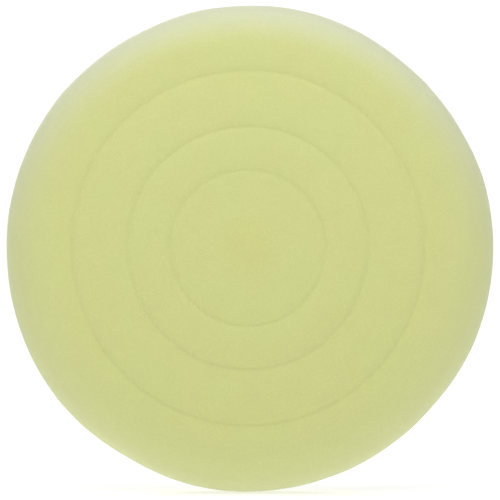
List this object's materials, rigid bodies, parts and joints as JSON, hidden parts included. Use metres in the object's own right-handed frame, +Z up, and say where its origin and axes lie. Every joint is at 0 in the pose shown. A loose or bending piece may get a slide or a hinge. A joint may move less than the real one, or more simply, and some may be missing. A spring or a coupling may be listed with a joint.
{
  "type": "polishing pad",
  "caption": "Round foam polishing pad with ring grooves in its face, a rounded shoulder and a recessed loop-cloth back.",
  "frame": {"origin": "centre of the loop tips on the back, the plane that the backing plate seats on", "axes": "+Y along the spin axis, out of the back towards the polisher; the working face looks towards -Y; +Z up, with the pad upright as on a vertical panel"},
  "size_m": [0.203, 0.032, 0.203],
  "materials": {
    "pad_foam": "matte",
    "hot_melt_glue": "satin",
    "loop_knit": "matte",
    "loop_yarn": "matte"
  },
  "bodies": {
    "root": {"foam_body": "pad_foam", "glue_film": "hot_melt_glue", "loop_ground": "loop_knit", "loop_pile": "loop_yarn"}
  },
  "joints": []
}
